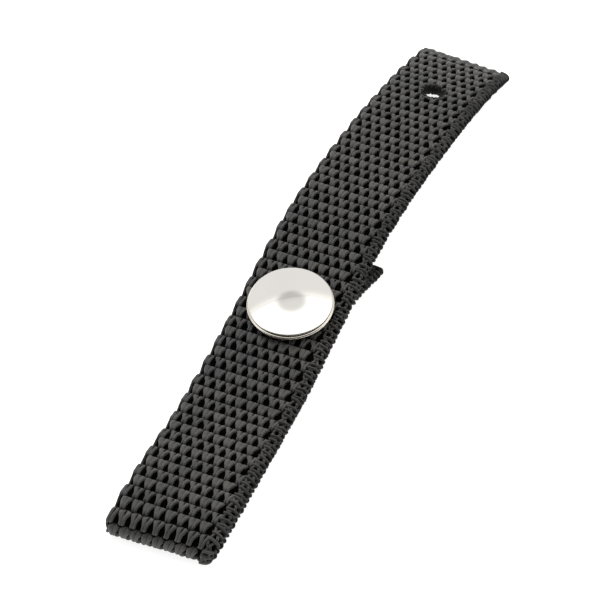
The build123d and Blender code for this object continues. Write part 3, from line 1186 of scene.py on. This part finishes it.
        # painted shade: the core takes its finish's darkest colour all over
        shape.grid(self.settle(points), points[..., :2], wrap=True, depth=np.zeros((n, m)))
        gone = inside.reshape(-1)[quad_corners(n, m, True)].all(-1)
        shape.faces = [f for f, drop in zip(shape.faces, gone) if not drop]
        shape.uvs = [shape.uvs[0].reshape(-1, 4, 2)[~gone].reshape(-1, 2)]
        for row in (0, n - 1):
            for j in range(len(u) - 1):
                face = (row * m + j, row * m + j + 1, row * m + m - 2 - j, row * m + m - 1 - j)
                shape.faces.append(face if row == 0 else face[::-1])
                shape.uvs.append(np.zeros((4, 2)))
        return shape

    def build(self, stretch: Stretch, yarn: Material, inner: Material,
              edge: Material) -> list[Piece]:
        """Makes one stretch's pieces, rides them on the frame or bakes them in place, and hides
        the frame nodes that they stand for.

        Args:
            stretch: The stretch.
            yarn: Finish of the warp.
            inner: Finish of the weft and core, near black as painted shade in the gaps.
            edge: Finish of the looped selvedge.

        Returns:
            The pieces, the core last.
        """
        made = [
            self.warp(stretch).make(f"warp_{stretch.name}", yarn, self.path),
            self.weft(stretch).make(f"weft_{stretch.name}", inner, self.path),
            self.selvedge(stretch).make(f"selvedge_{stretch.name}", edge, self.path),
            self.core(stretch).make(f"core_{stretch.name}", inner, self.path),
        ]
        for piece in made:
            self.attach(piece, stretch)
        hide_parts(*stretch.stands_for)
        return made

    def attach(self, piece: Piece, stretch: Stretch) -> None:
        """Rides a piece on its stretch's body, or bakes it in place where the stretch bends.

        Args:
            piece: The piece.
            stretch: The stretch that it belongs to.
        """
        if stretch.bend is None:
            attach(piece, stretch.bodies[0].value)
        else:
            start, end = (self.path.point(x, 0.0, stretch.bend_height) for x in stretch.bend)
            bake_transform(piece)


@dataclass
class FusedEnd:
    """A melted cut end: a lumpy lip across the strip."""

    path: StripPath
    name: str
    stands_for: str
    middle: float
    reach: float
    half_height: float
    scallop: float
    way: int
    span: Pair = (-9.62, 9.5)
    columns: int = 190
    sides: int = 20
    corner: Pair = (9.56, 0.9)
    reach_uneven: float = 0.12
    height_uneven: float = 0.16
    waviness: float = 0.06
    backward: float = 1.0

    def build(self, finish: Material, body: Body, seed: int) -> Piece:
        """Makes the lip.

        Args:
            finish: Its finish.
            body: The body that it rides on.
            seed: Sets its lumps.

        Returns:
            The piece.
        """
        rng = np.random.default_rng(seed)
        out_lumps, high_lumps, wave_lumps = (Wobble(rng, 5, 0.9, 5.0) for _ in range(3))
        u = np.linspace(*self.span, self.columns)
        end, curve = self.corner
        into_corner = ((np.abs(u) - end + curve) / curve).clip(0, 0.995)
        closing = np.sqrt(np.clip(1 - into_corner**2, 0, 1))[:, None]
        wave = 0.5 + 0.5 * np.cos(math.pi * u)
        out = self.reach * (1 + self.reach_uneven * out_lumps(u)) + self.scallop * (wave - 0.5)
        high = (self.half_height * (1 + self.height_uneven * high_lumps(u))
                * (0.93 + 0.14 * wave))
        angle = ring_angles(self.sides)
        cosine, sine = np.cos(angle), np.sin(angle)
        forward = np.where(cosine[None] > 0, out[:, None] * cosine, self.backward * cosine)
        rings = np.empty((len(u), self.sides, 3))
        rings[..., 0] = self.middle + self.way * forward * closing
        rings[..., 1] = u[:, None]
        rings[..., 2] = (self.waviness * wave_lumps(u))[:, None] + high[:, None] * sine * closing
        shape = Shape()
        shape.tube(rings, u, 5.0)
        piece = shape.make(self.name, finish, self.path)
        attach(piece, body.value)
        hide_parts(self.stands_for)
        return piece


@dataclass
class HoleRim:
    """The pierced hole: its melted wall, wider at the upper face and near black as painted shade,
    and the frayed ends.
    """

    webbing: Webbing
    bore: float = 1.96
    collar: float = 0.5
    half_height: float = 0.93
    flare: float = 0.2
    wall_powers: Pair = (0.6, 0.8)
    wall_sides: int = 20
    wall_seed: int = 23
    frays: int = 17
    fray_seed: int = 31
    fray_gap: float = 0.62
    fray_arch: float = 0.25
    fray_level: float = 0.72
    fray_taper: float = 0.6
    # painted shade: the frayed ends are kept a little darker than a yarn at a face
    fray_depth: float = 0.75

    def round_hole(self, radius: Array, angle: Array, height: Array) -> Array:
        """Strip points about the hole's centre."""
        return np.stack([self.webbing.hole_s + radius * np.cos(angle),
                         radius * np.sin(angle), height], -1)

    def wall(self) -> Shape:
        """The melted wall.

        Returns:
            Its shape, in strip coordinates.
        """
        rng = np.random.default_rng(self.wall_seed)
        lumps = [Wobble(rng, 6, 0.5, 3.0) for _ in range(4)]
        around = np.linspace(0, FULL_TURN, 97)
        reach = FULL_TURN * self.bore
        trip = np.minimum(around, FULL_TURN - around) / FULL_TURN * reach
        part = ring_angles(self.wall_sides)
        middle = self.bore + self.collar / 2 + 0.06 * lumps[0](trip)
        wide = self.collar / 2 * (1 + 0.16 * lumps[1](trip * 1.3))
        top = self.half_height * (1 + 0.10 * lumps[2](trip * 1.7))
        under = self.half_height * (1 + 0.07 * lumps[3](trip * 1.5))
        round_cos = squared(np.cos(part), self.wall_powers[0])
        round_sin = squared(np.sin(part), self.wall_powers[1])
        far = 0.55 + 0.45 * np.cos(around)
        radius = (middle[:, None] + wide[:, None] * round_cos
                  + self.flare * far[:, None] * smooth(round_sin, -0.2, 1.0))
        height = np.where(round_sin[None] > 0, top[:, None], under[:, None]) * round_sin
        shape = Shape()
        shape.tube(self.round_hole(radius, around[:, None], height),
                   np.linspace(0, reach, len(around)), 3.0, capped=False)
        return shape

    def frayed(self) -> Shape:
        """Short curled yarn ends round the hole, on both faces.

        Returns:
            Their shape, in strip coordinates.
        """
        rng = np.random.default_rng(self.fray_seed)
        shape = Shape()
        t = np.linspace(0, 1, 12)
        arch = np.sin(math.pi * t)
        for face in (1, -1):
            for k in range(self.frays):
                start = FULL_TURN * (k + rng.uniform(-0.3, 0.3)) / self.frays
                sweep = rng.uniform(0.25, 0.6) * (1 if rng.uniform() < 0.6 else -1)
                radius = (self.bore + self.fray_gap + rng.uniform(-0.1, 0.25)
                          + self.fray_arch * arch)
                lift = self.fray_level + rng.uniform(0.06, 0.24) * arch
                line = self.round_hole(radius, start + sweep * t, face * lift)
                thick = rng.uniform(0.13, 0.2) * (1 - self.fray_taper * t**3)
                rings = cable_rings(line, thick, thick, 8, UPWARDS)
                shape.tube(rings, 2 * t, 200 + k + 40 * face,
                           np.full(rings.shape[:2], self.fray_depth))
        return shape

    def build(self, melted: Material, yarn: Material) -> tuple[Piece, Piece]:
        """Makes the wall and the frayed ends.

        Args:
            melted: The wall's finish, near black as painted shade.
            yarn: The frayed ends' finish.

        Returns:
            The two pieces.
        """
        wall = self.wall().make("hole_wall", melted, self.webbing.path)
        weld(wall)
        frayed = self.frayed().make("hole_frayed_ends", yarn, self.webbing.path)
        for piece in (wall, frayed):
            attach(piece, Body.TAIL_OUTER.value)
        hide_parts("hole_rim_seal")
        return wall, frayed


# ---- snap fastener ----
def rounded(corners: list[Triple], closed: bool, steps: int = 7) -> Array:
    """Rounds the corners of a profile.

    Args:
        corners: (distance from the axis, height, corner radius).
        closed: Whether the last corner joins the first.
        steps: Points in each rounded corner.

    Returns:
        Points, as (n, 2).
    """
    out: list[Array] = []
    n = len(corners)
    for i, (x, y, radius) in enumerate(corners):
        here = np.array([x, y])
        if radius <= 0 or (not closed and i in (0, n - 1)):
            out.append(here)
            continue
        before = np.array(corners[i - 1][:2]) - here
        after = np.array(corners[(i + 1) % n][:2]) - here
        a, b = before / np.linalg.norm(before), after / np.linalg.norm(after)
        half = math.acos(float(np.clip(a @ b, -1, 1))) / 2
        back = min(radius / math.tan(half), 0.49 * np.linalg.norm(before),
                   0.49 * np.linalg.norm(after))
        start, end = here + a * back, here + b * back
        for t in np.linspace(0, 1, steps):
            out.append((1 - t) ** 2 * start + 2 * t * (1 - t) * here + t**2 * end)
    return np.array(out)


@dataclass
class Snap:
    """The snap fastener. Heights are along its axis, from the upper run's face."""

    path: StripPath
    around: int = 128
    cap_radius: float = 7.7
    cap_lift: float = 0.6
    cap_height: float = 2.5
    cap_sheet: float = 0.3
    bead: float = 0.35
    rim_coat_gap: float = 0.015
    foot_radius: float = 7.36
    foot_height: float = 1.76
    seam_depth: float = 0.45
    post_radius: float = 1.8
    post_bore: float = 1.5
    post_curl: Pair = (0.6, 0.3)
    plate_radius: float = 6.4
    plate_sheet: float = 0.35
    boss_radius: float = 3.8
    socket_radius: float = 5.8
    socket_top: float = -1.35
    socket_bottom: float = -4.05
    socket_sheet: float = 0.4
    mouth_radius: float = 3.3
    stud_flange: float = 5.4
    stud_bottom: float = -4.65
    stud_sheet: float = 0.4
    stud_neck: float = 2.2
    stud_head: float = 2.6
    stud_top: float = -2.25
    head_bottom: float = -3.05
    eyelet_radius: float = 5.0
    eyelet_top: float = -5.55
    eyelet_sheet: float = 0.45
    spring_level: float = -3.35
    spring_radius: float = 0.25
    spring_place: float = 2.5
    spring_bow: Pair = (0.28, 1.6)
    spring_gap: float = 0.12

    def __post_init__(self) -> None:
        """Finds the snap's axis on the strip, and the middle of the cap's rolled rim."""
        s = np.array([self.path.run_snap])
        on_face = np.array([[s[0], 0.0, self.path.thickness / 2]])
        self.origin = self.path.place(on_face)[0]
        slope = float(self.path.side(s)[1][0])
        self.up = np.array([0.0, -math.sin(slope), math.cos(slope)])
        self.forward = np.array([0.0, math.cos(slope), math.sin(slope)])
        self.bead_middle = np.array([self.cap_radius - self.bead, self.cap_lift + self.bead])

    def placed(self, points: Array) -> Array:
        """Points (x, forward, up) about the snap's axis, put in the frame."""
        return (self.origin + points[..., :1] * np.array([1.0, 0.0, 0.0])
                + points[..., 1:2] * self.forward + points[..., 2:] * self.up)

    def lathe(self, name: str, profile: Array, finish: Material, closed: bool) -> Piece:
        """Turns a profile about the snap's axis.

        Args:
            name: The piece's name.
            profile: Points (distance from the axis, height).
            finish: Its finish.
            closed: Whether the profile's ends join. An open one starts and ends on the axis.

        Returns:
            The piece.
        """
        angle = ring_angles(self.around)[:, None]
        radius, height = profile[:, 0], profile[:, 1]
        points = np.stack(np.broadcast_arrays(radius * np.cos(angle), radius * np.sin(angle),
                                              height), -1)
        looped = np.concatenate([points, points[:1]])
        reach = np.concatenate([[0], np.cumsum(np.hypot(np.diff(radius), np.diff(height)))])
        uv = np.stack(np.broadcast_arrays(np.linspace(0, 8, len(looped))[:, None], reach), -1)
        shape = Shape()
        shape.grid(self.placed(looped), uv, wrap=closed)
        piece = shape.make(name, finish)
        weld(piece)
        return piece

    def fit(self, piece: Piece, body: Body, node: str, slot: Slot) -> Piece:
        """Rides a piece on its body in place of its frame node.

        Args:
            piece: The piece.
            body: Its body.
            node: The frame node that it stands for.
            slot: Not used.

        Returns:
            The piece.
        """
        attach(piece, body.value)
        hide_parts(node)
        return piece

    def dome(self) -> Array:
        """The polished dome, down to its rolled rim and back inside.

        Returns:
            The profile.
        """
        apex = self.cap_lift + self.cap_height
        drop = apex - self.foot_height
        curve = (self.foot_radius**2 + drop**2) / (2 * drop)
        r = np.linspace(0, self.foot_radius - 0.05, 44)
        dome = np.stack([r, apex - curve + np.sqrt(curve**2 - r**2)], -1)
        foot_x, foot_y = dome[-1]
        bead_x, bead_y = self.bead_middle
        groove = rounded([
            (foot_x, foot_y, 0.0), (self.foot_radius + 0.06, foot_y - 0.1, 0.07),
            (self.foot_radius - 0.5, foot_y - 0.22, 0.1),
            (bead_x - 0.12, bead_y + self.bead, 0.0)], False, 5)
        turn = np.radians(np.linspace(80, -140, 26))
        roll = self.bead_middle + self.bead * np.stack([np.cos(turn), np.sin(turn)], -1)
        r = np.linspace(self.foot_radius - 2.2 * self.cap_sheet, 0, 16)
        inner = curve - self.cap_sheet
        inside = np.stack([r, apex - self.cap_sheet - inner + np.sqrt(inner**2 - r**2)], -1)
        return np.concatenate([dome, groove[1:], roll, inside])

    def rim(self) -> Array:
        """A thin coat round the rolled rim, in darker, warmer plating as painted shade.

        Returns:
            The profile.
        """
        turn = ring_angles(24)
        return (self.bead_middle
                + (self.bead + self.rim_coat_gap) * np.stack([np.cos(turn), np.sin(turn)], -1))

    def seam_shade(self) -> Array:
        """A dark ring, as painted shade, in the groove where the dome's sheet is rolled into its
        rim.

        Returns:
            The profile.
        """
        top, bottom = self.foot_height - 0.14, self.cap_lift + 2 * self.bead - 0.04
        inner = self.foot_radius - self.seam_depth
        return rounded([(inner, bottom, 0.05), (self.foot_radius, bottom, 0.05),
                        (self.foot_radius + 0.02, top, 0.05), (inner, top, 0.05)], True)

    def post(self) -> Array:
        """The cap's plate, boss and curled post.

        Returns:
            The profile.
        """
        lift, top = self.cap_lift, self.cap_lift + self.plate_sheet
        curl = self.socket_top - self.socket_sheet
        out, down = self.post_radius + self.post_curl[0], curl - self.post_curl[1]
        return rounded([
            (self.post_bore, lift, 0.0), (self.post_bore, down, 0.1), (out, down, 0.14),
            (out, curl, 0.14), (self.post_radius, curl, 0.05), (self.post_radius, 0.0, 0.0),
            (self.boss_radius, 0.0, 0.2), (self.boss_radius, lift, 0.0),
            (self.plate_radius, lift, 0.1), (self.plate_radius, top, 0.1),
            (self.post_bore, top, 0.0)], True)

    def socket(self) -> Array:
        """The socket's shell: a shallow cup with its lip turned in.

        Returns:
            The profile.
        """
        ceiling = self.socket_top - self.socket_sheet
        bottom, lip = self.socket_bottom, self.socket_bottom + self.socket_sheet
        wall, mouth = self.socket_radius - self.socket_sheet, self.mouth_radius
        return rounded([
            (self.post_radius, self.socket_top, 0.0), (self.socket_radius, self.socket_top, 0.5),
            (self.socket_radius, bottom, 0.6), (mouth + 0.7, bottom, 0.3),
            (mouth, bottom + 0.1, 0.15), (mouth, lip + 0.06, 0.1), (mouth + 0.8, lip, 0.2),
            (wall, lip, 0.2), (wall, ceiling, 0.3), (self.post_radius, ceiling, 0.0)], True)

    def springs(self, finish: Material) -> Piece:
        """The two wires that grip the stud, each with its ends turned outwards.

        Args:
            finish: Their finish.

        Returns:
            The piece.
        """
        shape = Shape()
        wall = self.socket_radius - self.socket_sheet
        reach = (math.sqrt(wall**2 - (self.spring_place + self.spring_radius) ** 2)
                 - self.spring_gap)
        along = np.linspace(-reach, reach, 61)
        out, straight = self.spring_bow
        bow = self.spring_place + out * smooth(np.abs(along), straight, reach)
        for side in (-1, 1):
            line = np.stack([side * bow, along, np.full_like(along, self.spring_level)], -1)
            rings = cable_rings(line, self.spring_radius, self.spring_radius, 12, UPWARDS)
            shape.tube(self.placed(rings), along, side + 2.0)
        return shape.make("snap_spring_wires", finish)

    def stud(self) -> Array:
        """The stud: flange, neck and rounded head, in one drawn sheet.

        Returns:
            The profile.
        """
        low, flange_top = self.stud_bottom, self.stud_bottom + self.stud_sheet
        head, neck, flange = self.stud_head, self.stud_neck, self.stud_flange
        inner_top = self.stud_top - self.stud_sheet
        return rounded([
            (0.0, self.stud_top, 0.0), (head, self.stud_top, 0.42), (head, self.head_bottom, 0.3),
            (neck, self.head_bottom - 0.15, 0.3), (neck, flange_top, 0.35),
            (flange - 0.9, flange_top, 0.3), (flange, flange_top - 0.04, 0.18),
            (flange, low, 0.1), (self.post_radius, low, 0.0), (self.post_radius, inner_top, 0.0),
            (0.0, inner_top, 0.0)], False)

    def eyelet(self) -> Array:
        """The eyelet that holds the stud from the leg's other side.

        Returns:
            The profile.
        """
        barrel_top = self.stud_top - self.stud_sheet
        top, bottom = self.eyelet_top, self.eyelet_top - self.eyelet_sheet
        return rounded([
            (self.post_bore, barrel_top, 0.0), (self.post_bore, bottom + 0.15, 0.5),
            (self.post_bore + 0.7, bottom, 0.3), (self.eyelet_radius, bottom, 0.25),
            (self.eyelet_radius, top, 0.12), (self.post_radius + 0.1, top, 0.1),
            (self.post_radius, barrel_top, 0.0)], True)

    def build(self) -> list[Piece]:
        """Makes the fastener's pieces, with their finishes.

        Returns:
            The pieces, from the top down.
        """
        plated = BRIGHT_PLATING.material()
        cap, hardware = (Body.RUN, "snap_cap", Slot.CAP), Slot.HARDWARE
        return [
            self.fit(self.lathe("snap_cap_dome", self.dome(), POLISHED_NICKEL.material(), False),
                     *cap),
            # painted shade: the rim's darker coat and the groove's dark ring
            self.fit(self.lathe("snap_cap_rim", self.rim(), RIM_PAINTED_SHADE.material(), True), *cap),
            self.fit(self.lathe("snap_cap_seam", self.seam_shade(), SEAM_PAINTED_SHADE.material(), True), *cap),
            self.fit(self.lathe("snap_post", self.post(), plated, True),
                     Body.RUN, "cap_post", hardware),
            self.fit(self.lathe("snap_socket_shell", self.socket(), plated, True),
                     Body.RUN, "snap_socket", hardware),
            self.fit(self.springs(SPRING_STEEL.material()), Body.RUN, "socket_spring",
                     Slot.SPRING),
            self.fit(self.lathe("snap_stud_body", self.stud(), plated, False),
                     Body.LEG, "snap_stud", hardware),
            self.fit(self.lathe("snap_eyelet_ring", self.eyelet(), plated, True),
                     Body.LEG, "stud_eyelet", hardware),
        ]


# ---- studio ----
@dataclass(frozen=True)
class SoftBox:
    """A rectangular light that points at the strap."""

    name: str
    place: Triple
    size: Pair
    watts: float

    def build(self, target: Vector) -> None:
        """Adds the light.

        Args:
            target: The point that it faces.
        """
        data = bpy.data.lights.new(self.name, "AREA")
        data.shape, data.size, data.size_y = "RECTANGLE", *self.size
        data.energy = self.watts
        lamp = add_object(self.name, data)
        lamp.location = self.place
        lamp.visible_glossy = False
        lamp.rotation_mode = "QUATERNION"
        lamp.rotation_quaternion = (target - Vector(self.place)).to_track_quat("-Z", "Y")


@dataclass(frozen=True)
class Falloff:
    """A change in the tent's brightness, from start at the low to end at the high cosine."""

    direction: Triple
    low: float
    high: float
    start: float
    end: float


@dataclass
class Studio:
    """Camera, floor and lights, in metres and degrees."""

    azimuth: float = 23.12
    elevation: float = 46.13
    distance: float = 0.3728
    lens: float = 126.3
    sensor: float = 36.0
    shift: Pair = (0.0216, 0.0051)
    clip: Pair = (0.01, 10.0)
    floor_reach: float = 2.0
    floor_shade: float = 0.5
    floor_glow: float = 0.85
    key: SoftBox = SoftBox("key_left", (-0.75, 0.55, 0.95), (0.5, 0.5), 14.0)
    tent_colour: Triple = (1.0, 0.985, 0.96)
    overhead: Falloff = Falloff((0.47, -0.745, 0.474), -0.2, 0.14, 0.84, 1.45)
    opening: Falloff = Falloff((-0.217, 0.344, 0.914), 0.962, 0.995, 1.0, 0.55)
    front: Falloff = Falloff((0.39, -0.92, 0.0), 0.15, 0.6, 1.0, 0.06)
    seam_in: Falloff = Falloff((0.47, -0.745, 0.474), -0.05, -0.02, 1.0, 0.85)
    seam_out: Falloff = Falloff((0.47, -0.745, 0.474), -0.02, 0.01, 1.0, 1.0 / 0.85)

    def build(self, target: Vector) -> None:
        """Sets up the studio.

        Args:
            target: The point that the camera and the light face.
        """
        scene = bpy.context.scene
        scene.view_settings.view_transform = "Standard"
        a, e = math.radians(self.azimuth), math.radians(self.elevation)
        back = Vector((math.sin(a) * math.cos(e), -math.cos(a) * math.cos(e), math.sin(e)))
        data = bpy.data.cameras.new("camera")
        data.lens, data.sensor_width = self.lens, self.sensor
        data.shift_x, data.shift_y = self.shift
        data.clip_start, data.clip_end = self.clip
        camera = add_object("camera", data)
        camera.location = target + back * self.distance
        camera.rotation_mode = "QUATERNION"
        camera.rotation_quaternion = (-back).to_track_quat("-Z", "Y")
        scene.camera = camera
        self.tent()
        self.key.build(target)
        self.floor()

    def tent(self) -> None:
        """Lights the scene from a soft tent: bright overhead, dim low down, with an opening."""
        world = bpy.data.worlds.new("light_tent")
        world.use_nodes = True
        tree = world.node_tree
        background = tree.nodes["Background"]
        background.inputs["Color"].default_value = (*self.tent_colour, 1.0)
        direction = tree.nodes.new("ShaderNodeTexCoord").outputs["Generated"]
        strength: Socket | None = None
        for change in (self.overhead, self.opening, self.front, self.seam_in, self.seam_out):
            cosine = tree.nodes.new("ShaderNodeVectorMath")
            cosine.operation = "DOT_PRODUCT"
            cosine.inputs[1].default_value = change.direction
            tree.links.new(direction, cosine.inputs[0])
            turned = tree.nodes.new("ShaderNodeMapRange")
            turned.interpolation_type = "SMOOTHERSTEP"
            values = (change.low, change.high, change.start, change.end)
            for place, value in enumerate(values, 1):
                turned.inputs[place].default_value = value
            tree.links.new(cosine.outputs["Value"], turned.inputs[0])
            product = tree.nodes.new("ShaderNodeMath")
            product.operation = "MULTIPLY"
            product.inputs[0].default_value = 1.0
            if strength is not None:
                tree.links.new(strength, product.inputs[0])
            tree.links.new(turned.outputs[0], product.inputs[1])
            strength = product.outputs[0]
        tree.links.new(strength, background.inputs["Strength"])
        bpy.context.scene.world = world

    def floor(self) -> None:
        """Adds the table top."""
        reach = self.floor_reach
        mesh = bpy.data.meshes.new("table_top")
        mesh.from_pydata([(-reach, -reach, 0), (reach, -reach, 0), (reach, reach, 0),
                          (-reach, reach, 0)], [], [(0, 1, 2, 3)])
        finish = FloorFinish("matt_white", self.floor_shade, self.floor_glow)
        mesh.materials.append(finish.material())
        add_object("table_top", mesh)


# ---- the whole strap ----
def main() -> None:
    """Builds the strap's looks in order."""
    logging.basicConfig(level=logging.INFO, format="%(message)s")
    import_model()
    path = StripPath()
    log.info("strip %.2f mm long, snap at %.2f and %.2f", path.length, path.leg_snap,
             path.run_snap)
    Studio().build(path.point(path.run_snap, 0.0, path.thickness / 2))

    webbing = Webbing(path)
    yarn, inner, edge = (f.material() for f in (CHARCOAL_WARP, WEFT_AND_CORE_PAINTED_SHADE, CHARCOAL_SELVEDGE))
    fused_grey, fused_black = FUSED_GREY.material(), FUSED_DARK_AND_HOLE_SHADE.material()
    for stretch in webbing.stretches():
        webbing.build(stretch, yarn, inner, edge)
    FusedEnd(path, "tail_end_lip", "tail_end_seal", middle=path.length - 1.0, reach=1.0,
             half_height=0.62, scallop=0.25, way=1).build(fused_grey, Body.TAIL_OUTER, 11)
    FusedEnd(path, "leg_end_lip", "leg_end_seal", middle=1.0, reach=1.05,
             half_height=0.7, scallop=0.12, way=-1).build(fused_black, Body.LEG, 12)
    # the hole's wall takes the near black melt as painted shade
    HoleRim(webbing).build(fused_black, yarn)
    Snap(path).build()


if __name__ == "__main__":
    main()
